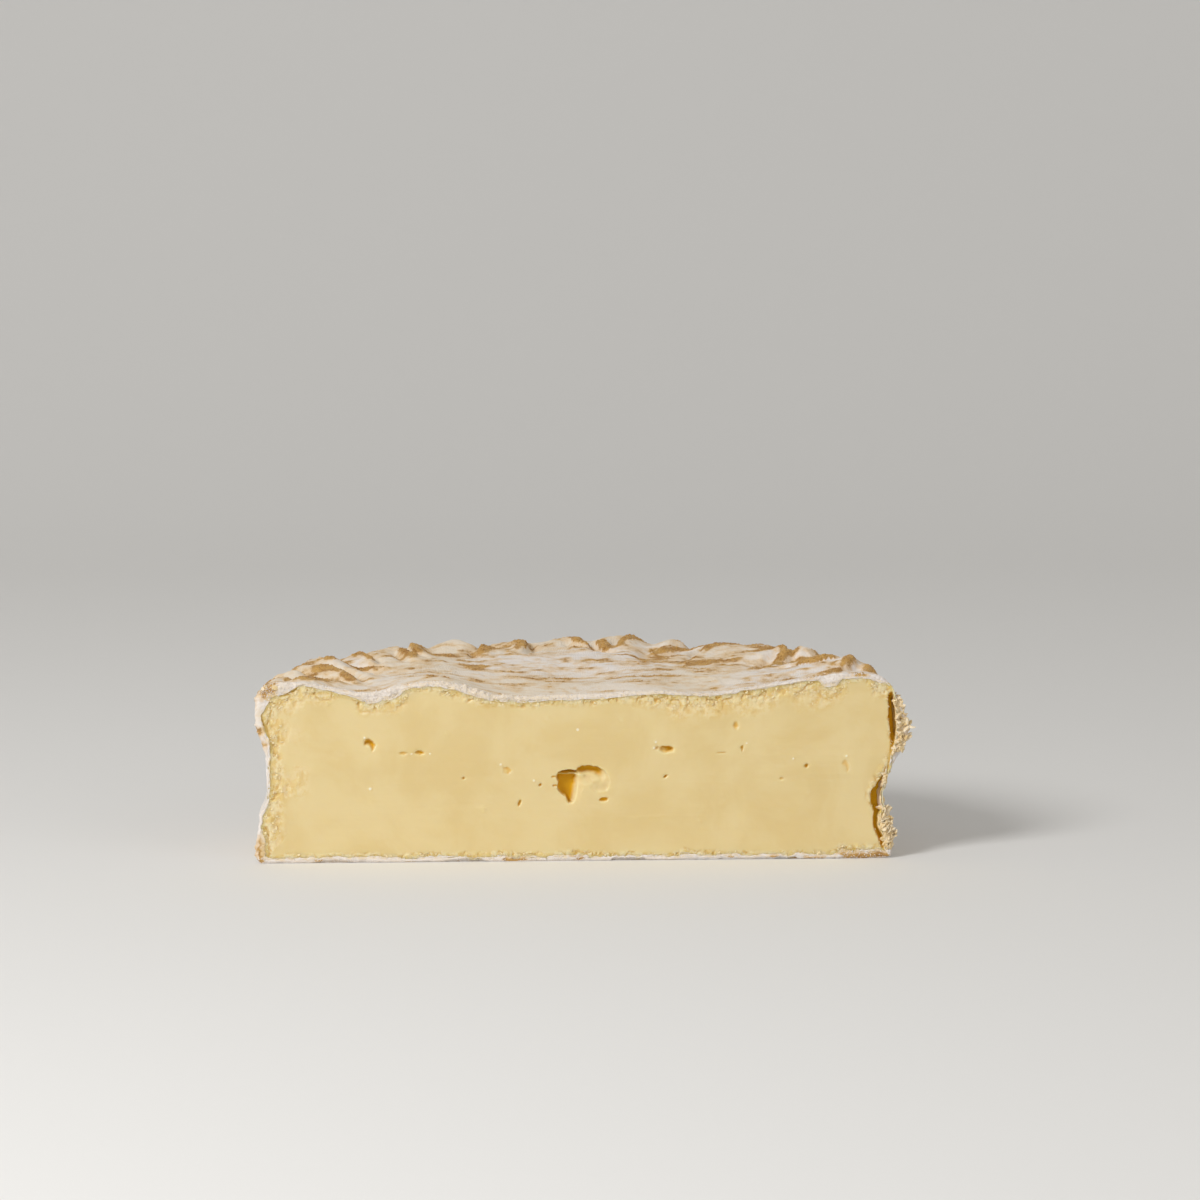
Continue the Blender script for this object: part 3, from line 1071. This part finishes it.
def scatter_group():
    """Scatters ragged grains over a surface where a mask is high, standing along its normals."""
    nodes, given, end = group(
        "Scatter Grains", "GeometryNodeTree",
        {
            "Geometry": ("Geometry", None),
            "Mask": ("String", "worn"),
            "From": ("Float", 0.5),
            "Density": ("Float", 1e6),
            "Size": ("Vector", (1e-4, 1e-4, 1e-4)),
            "Spread": ("Float", 0.5),
            "Tilt": ("Float", 1.0),
            "Toward": ("Vector", (0.0, 0.0, 0.0)),
            "Ragged": ("Float", 0.0),
            "Detail": ("Int", 1),
            "Seed": ("Int", 1),
            "Material": ("Material", None),
        },
        {"Geometry": "Geometry"},
    )
    add, vectors, seed, spread = nodes.add, nodes.vectors, given["Seed"], given["Spread"]
    mask = add("GeometryNodeInputNamedAttribute", {"Name": given["Mask"]}, data_type="FLOAT")[0]
    density = nodes.times(nodes.fade(mask, given["From"], 1.0), given["Density"])
    spots = add(
        "GeometryNodeDistributePointsOnFaces", {"Mesh": given["Geometry"], "Density": density, "Seed": seed},
        distribute_method="RANDOM",
    )
    least, most = (vectors("MULTIPLY", given["Tilt"], (s, s, s * HALF_TURN)) for s in (-1.0, 1.0))
    lean = add("FunctionNodeRandomValue", {0: least, 1: most, "Seed": seed}, data_type="FLOAT_VECTOR")[0]
    heading = vectors("ADD", spots["Normal"], given["Toward"])
    upright = {"Rotation": spots["Rotation"], "Vector": heading}
    upright = add("FunctionNodeAlignRotationToVector", upright, axis="Z")[0]
    turn = {"Rotation": upright, "Rotate By": lean}
    turn = add("FunctionNodeRotateRotation", turn, rotation_space="LOCAL")[0]
    smallest, largest = nodes.maths("SUBTRACT", 1.0, spread), nodes.plus(1.0, spread)
    limits = {2: smallest, 3: largest, "Seed": nodes.plus(seed, 7.0)}
    grow = add("FunctionNodeRandomValue", limits, data_type="FLOAT")[1]
    grain = add("GeometryNodeMeshIcoSphere", {"Radius": 1.0, "Subdivisions": given["Detail"]})[0]
    size = vectors("SCALE", given["Size"], grow)
    placed = {"Points": spots["Points"], "Instance": grain, "Rotation": turn, "Scale": size}
    placed = add("GeometryNodeInstanceOnPoints", placed)[0]
    solid = add("GeometryNodeRealizeInstances", {"Geometry": placed})[0]

    where = add("GeometryNodeInputPosition")[0]
    wander = add("ShaderNodeTexNoise", {"Vector": where, "Scale": RAGGED_SCALE, "Detail": 2.0})["Color"]
    wander = vectors("SCALE", vectors("SUBTRACT", wander, (0.5, 0.5, 0.5)), given["Ragged"])
    parted = add("ShaderNodeSeparateXYZ", {"Vector": where})
    height = nodes.maths("MAXIMUM", parted["Z"], 0.0)
    above = add("ShaderNodeCombineXYZ", {"X": parted["X"], "Y": parted["Y"], "Z": height})[0]
    for kind, inputs in (
        ("SetPosition", {"Offset": wander}), ("SetPosition", {"Position": above}),
        ("SetShadeSmooth", {}), ("SetMaterial", {"Material": given["Material"]}),
    ):
        solid = add("GeometryNode" + kind, {"Geometry": solid, **inputs})[0]
    nodes.fill(end, {"Geometry": solid})
    return nodes.tree


def scatter(name, source, slot, values):
    """A new piece of grains scattered over another piece's surface."""
    tree = GROUPS["scatter"]
    carrier = bpy.data.objects.new(name + "_carrier", source.data)
    bpy.context.scene.collection.objects.link(carrier)
    modifier = carrier.modifiers.new("Scatter Grains", "NODES")
    modifier.node_group = tree
    for item in tree.interface.items_tree:
        if item.item_type == "SOCKET" and item.in_out == "INPUT" and item.name in values:
            modifier[item.identifier] = values[item.name]
    seen = carrier.evaluated_get(bpy.context.evaluated_depsgraph_get())
    mesh = bpy.data.meshes.new_from_object(seen)
    bpy.data.objects.remove(carrier)
    mesh.name = name
    return place_piece(name, mesh, slot)


def shared_groups():
    if not GROUPS:
        GROUPS["grain"] = grain_group()
        GROUPS["ripples"] = ripples_group()
        GROUPS["lines"] = cut_lines_group()
        GROUPS["scatter"] = scatter_group()


# ---- settings -------------------------------------------------------------------------------
def colour_setting(name, description, default):
    return FloatVectorProperty(
        name=name, description=description, default=default, size=3, min=0.0, max=1.0, subtype="COLOR"
    )


class CheeseRindSettings(bpy.types.PropertyGroup):
    fold_height: FloatProperty(
        name="Fold Height", description="Height of the sharp folds near the rim",
        default=0.0010, min=0.0, unit="LENGTH",
    )
    bloom_colour: colour_setting("Bloom", "White mould felt", (0.80, 0.735, 0.68))
    cream_colour: colour_setting("Cream", "Rind under a thin bloom", (0.78, 0.65, 0.46))
    peach_colour: colour_setting("Peach", "Rind that shows through worn bloom", (0.70, 0.48, 0.24))
    cool_colour: colour_setting("Cool", "Thick bloom in the side's hollows", (0.66, 0.66, 0.66))
    worn_colour: colour_setting("Worn", "Bare rind", (0.54, 0.315, 0.09))
    deep_worn_colour: colour_setting("Worn Deep", "Darkest bare rind", (0.38, 0.19, 0.045))
    shred_colour: colour_setting("Shreds", "Tips of the torn shreds", (0.88, 0.76, 0.56))
    torn_colour: colour_setting("Torn", "Torn inner rind", (0.78, 0.59, 0.30))
    gold_colour: colour_setting("Gold", "Moist golden grains", (0.68, 0.44, 0.13))


class CheesePasteSettings(bpy.types.PropertyGroup):
    crumb_depth: FloatProperty(
        name="Crumb Depth", description="Depth of the crumbly relief beside the rind",
        default=0.0003, min=0.0, unit="LENGTH",
    )
    paste_colour: colour_setting("Paste", "Cut paste", (0.78, 0.64, 0.345))
    paste_shade: colour_setting("Paste Shade", "Slightly riper paste", (0.745, 0.59, 0.29))
    crumb_colour: colour_setting("Crumbs", "Crumbly paste beside the rind", (0.85, 0.715, 0.44))
    crumb_shade: colour_setting("Crumb Shade", "Between the crumbs", (0.76, 0.56, 0.23))
    crack_colour: colour_setting("Cracks", "Golden cracks beside the rind", (0.70, 0.44, 0.09))
    hole_colour: colour_setting("Eyes", "Walls of the eyes", (0.77, 0.43, 0.006))


class CheeseStageSettings(bpy.types.PropertyGroup):
    camera_distance: FloatProperty(
        name="Camera Distance", description="From the camera to the cut", default=0.9, min=0.2, unit="LENGTH"
    )
    camera_elevation: FloatProperty(
        name="Camera Elevation", description="Angle of the view above level", default=math.radians(7.0),
        subtype="ANGLE", unit="ROTATION",
    )
    camera_turn: FloatProperty(
        name="Camera Turn", description="How far the view turns from square on to the cut",
        default=math.radians(-3.0), subtype="ANGLE", unit="ROTATION",
    )
    view_width: FloatProperty(
        name="View Width", description="Width of what the camera sees at the cut", default=0.2017, min=0.01,
        unit="LENGTH",
    )
    key_power: FloatProperty(
        name="Key Light", description="Power of the key light", default=4.9, unit="POWER"
    )
    fill_power: FloatProperty(
        name="Fill Light", description="Power of the fill light", default=1.2, unit="POWER"
    )
    floor_colour: colour_setting("Floor", "Floor and backdrop", (0.80, 0.79, 0.77))


class CheeseSettings(bpy.types.PropertyGroup):
    rind: PointerProperty(type=CheeseRindSettings)
    paste: PointerProperty(type=CheesePasteSettings)
    stage: PointerProperty(type=CheeseStageSettings)


# ---- operators ------------------------------------------------------------------------------
class CHEESE_OT_make_rind(bpy.types.Operator):
    """Make the rind: the whole skin and its cut edge"""

    bl_idname = "cheese.make_rind"
    bl_label = "Make Rind"

    def execute(self, context):
        settings = context.scene.cheese.rind
        shared_groups()
        points, faces, masks = rind_mesh(settings)
        skin = make_piece("rind", points, faces, masks, rind_material("bloomy_rind", settings, False), "rind")
        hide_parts(NODE)
        points, faces, masks = cut_edge_mesh(settings)
        edge = make_piece(
            "rind_cut_edge", points, faces, masks, rind_material("rind_cut_edge", settings, True), "rind"
        )
        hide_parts(NODE)
        return {"FINISHED"}


class CHEESE_OT_make_paste(bpy.types.Operator):
    """Make the paste: its cut face with eyes and cavity"""

    bl_idname = "cheese.make_paste"
    bl_label = "Make Paste"

    def execute(self, context):
        cheese = context.scene.cheese
        shared_groups()
        points, faces, masks = paste_mesh(cheese.paste, cheese.rind.fold_height / MM)
        paste = make_piece("paste", points, faces, masks, paste_material(cheese.paste), "paste")
        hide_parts(NODE)
        return {"FINISHED"}


# The grains: the piece's name, the piece that carries them, their slot and material, the mask that
# they follow and where it begins, how many a square metre, their size and its spread, how far they
# tilt and toward where, how ragged and how finely divided they are, and their seed.
GRAIN_FIELDS = (
    "name", "on", "slot", "Material", "Mask", "From", "Density", "Size", "Spread", "Tilt", "Toward",
    "Ragged", "Detail", "Seed",
)
STRAIGHT = (0.0, 0.0, 0.0)
GRAINS = (
    ("rind_beads", "rind", "rind", "bloomy_rind", "bare", 0.25, 5.0e6,
     (0.00017, 0.00015, 0.00010), 0.5, 0.5, STRAIGHT, 0.0, 1, 3),
    ("bloom_fluff", "rind_cut_edge", "rind", "bloom_fluff", "fuzz", 0.1, 20.0e6,
     (0.00006, 0.00005, 0.00014), 0.6, 1.0, STRAIGHT, 0.00012, 1, 5),
    ("torn_crumbs", "rind_cut_edge", "rind", "torn_rind", "fray", 0.6, 2.4e6,
     (0.00036, 0.00013, 0.00055), 0.5, 0.7, (0.7, 0.0, 0.25), 0.0005, 3, 9),
    ("torn_feathers", "rind_cut_edge", "rind", "torn_rind", "feather", 0.7, 2.6e6,
     (0.00027, 0.00011, 0.00105), 0.5, 0.35, (1.3, -0.2, 0.7), 0.0005, 3, 13),
    ("paste_crumbs", "paste", "paste", "paste_crumbs", "crumbs", 0.55, 2.0e6,
     (0.00020, 0.00012, 0.00005), 0.6, 0.4, STRAIGHT, 0.0005, 2, 17),
)


class CHEESE_OT_make_grains(bpy.types.Operator):
    """Make the loose texture: worn beads, bloom fluff, torn shreds and crumbs of paste"""

    bl_idname = "cheese.make_grains"
    bl_label = "Make Grains"

    def execute(self, context):
        shared_groups()
        rind, paste = context.scene.cheese.rind, context.scene.cheese.paste
        made = {"bloomy_rind": bpy.data.objects["rind"].data.materials[0]}
        for name, pale, deeper, speck in (
            ("torn_rind", rind.shred_colour, rind.torn_colour, rind.gold_colour),
            ("paste_crumbs", paste.crumb_colour, paste.paste_colour, paste.crumb_shade),
            ("bloom_fluff", rind.bloom_colour, rind.bloom_colour, rind.cream_colour),
        ):
            made[name] = torn_material(name, pale, deeper, speck)
        for row in GRAINS:
            values = dict(zip(GRAIN_FIELDS, row))
            values["Material"] = made[values["Material"]]
            scatter(values.pop("name"), bpy.data.objects[values.pop("on")], values.pop("slot"), values)
        return {"FINISHED"}


class CHEESE_OT_make_stage(bpy.types.Operator):
    """Make the stage: floor, backdrop, lights, world and camera"""

    bl_idname = "cheese.make_stage"
    bl_label = "Make Stage"

    def execute(self, context):
        settings = context.scene.cheese.stage
        make_floor(settings)
        make_lights(settings)
        make_world()
        make_camera(settings)
        context.scene.view_settings.view_transform = "Standard"
        return {"FINISHED"}


# ---- the stage ------------------------------------------------------------------------------
def make_floor(settings):
    """A pale floor that curves up into a backdrop."""
    half_width, front, bend, rise, radius = 3.0, -2.5, 0.9, 2.2, 0.5
    section = [(front, 0.0), (bend - radius, 0.0)]
    for i in range(1, 17):
        turn = 0.5 * math.pi * i / 16
        section.append((bend - radius + radius * math.sin(turn), radius * (1.0 - math.cos(turn))))
    section.append((bend, rise))
    points = [(x, y, z) for y, z in section for x in (-half_width, half_width)]
    faces = [(2 * i, 2 * i + 1, 2 * i + 3, 2 * i + 2) for i in range(len(section) - 1)]
    mesh = bpy.data.meshes.new("floor")
    mesh.from_pydata(points, [], faces)
    mesh.shade_smooth()
    material, nodes, shader, _ = new_material("pale_floor")
    nodes.fill(shader, {
        "Base Color": (*settings.floor_colour, 1.0), "Roughness": 0.75, "Specular IOR Level": 0.2,
    })
    mesh.materials.append(material)
    floor = bpy.data.objects.new("floor", mesh)
    bpy.context.scene.collection.objects.link(floor)


def make_light(name, power, size, place, target):
    light = bpy.data.lights.new(name, "AREA")
    light.energy = power
    light.shape = "DISK"
    light.size = size
    lamp = bpy.data.objects.new(name, light)
    lamp.location = place
    lamp.rotation_euler = (Vector(target) - Vector(place)).to_track_quat("-Z", "Y").to_euler()
    bpy.context.scene.collection.objects.link(lamp)


def make_lights(settings):
    middle = (0.0, CUT_Y * MM, 0.5 * HEIGHT * MM)
    make_light("key_light", settings.key_power, 0.30, (-0.50, -0.55, 0.50), middle)
    make_light("fill_light", settings.fill_power, 0.8, (0.75, -0.75, 0.45), middle)


def make_world():
    world = bpy.data.worlds.new("studio")
    world.use_nodes = True
    nodes = Nodes(world.node_tree)
    ray = nodes.add("ShaderNodeLightPath")
    seen = nodes.maths("MAXIMUM", ray["Is Glossy Ray"], ray["Is Transmission Ray"])
    seen = nodes.maths("MAXIMUM", ray["Is Camera Ray"], seen)
    nodes.fill(nodes.tree.nodes["Background"], {
        "Color": (1.0, 0.985, 0.96, 1.0), "Strength": nodes.between(seen, 0.42, 0.9),
    })
    bpy.context.scene.world = world


def make_camera(settings):
    """A long lens, slightly above the cut and a little left of square on to it."""
    aim = Vector((2.7 * MM, CUT_Y * MM, 44.4 * MM))
    el, turn = settings.camera_elevation, settings.camera_turn
    toward = Vector((math.sin(turn) * math.cos(el), -math.cos(turn) * math.cos(el), math.sin(el)))
    data = bpy.data.cameras.new("camera")
    data.sensor_width = 36.0
    data.lens = data.sensor_width * settings.camera_distance / settings.view_width
    data.clip_start = 0.05
    camera = bpy.data.objects.new("camera", data)
    camera.location = aim + settings.camera_distance * toward
    camera.rotation_euler = toward.to_track_quat("Z", "Y").to_euler()
    bpy.context.scene.collection.objects.link(camera)
    bpy.context.scene.camera = camera


# ---- panel and registration -----------------------------------------------------------------
class CHEESE_PT_panel(bpy.types.Panel):
    """Lists what the add-on makes"""

    bl_label = "Soft-Ripened Cheese Half"
    bl_idname = "CHEESE_PT_panel"
    bl_space_type = "VIEW_3D"
    bl_region_type = "UI"
    bl_category = "Cheese"

    def draw(self, context):
        for operator in OPERATORS:
            self.layout.operator(operator.bl_idname)
        cheese = context.scene.cheese
        for settings in (cheese.rind, cheese.paste, cheese.stage):
            box = self.layout.box()
            for key in settings.__annotations__:
                box.prop(settings, key)


OPERATORS = (CHEESE_OT_make_rind, CHEESE_OT_make_paste, CHEESE_OT_make_grains, CHEESE_OT_make_stage)
CLASSES = (
    CheeseRindSettings, CheesePasteSettings, CheeseStageSettings, CheeseSettings, *OPERATORS, CHEESE_PT_panel,
)


def register():
    for cls in CLASSES:
        bpy.utils.register_class(cls)
    bpy.types.Scene.cheese = PointerProperty(type=CheeseSettings)


def unregister():
    del bpy.types.Scene.cheese
    for cls in reversed(CLASSES):
        bpy.utils.unregister_class(cls)


def main():
    register()
    bpy.ops.cheese.make_rind()
    bpy.ops.cheese.make_paste()
    bpy.ops.cheese.make_grains()
    bpy.ops.cheese.make_stage()


if __name__ == "__main__":
    main()
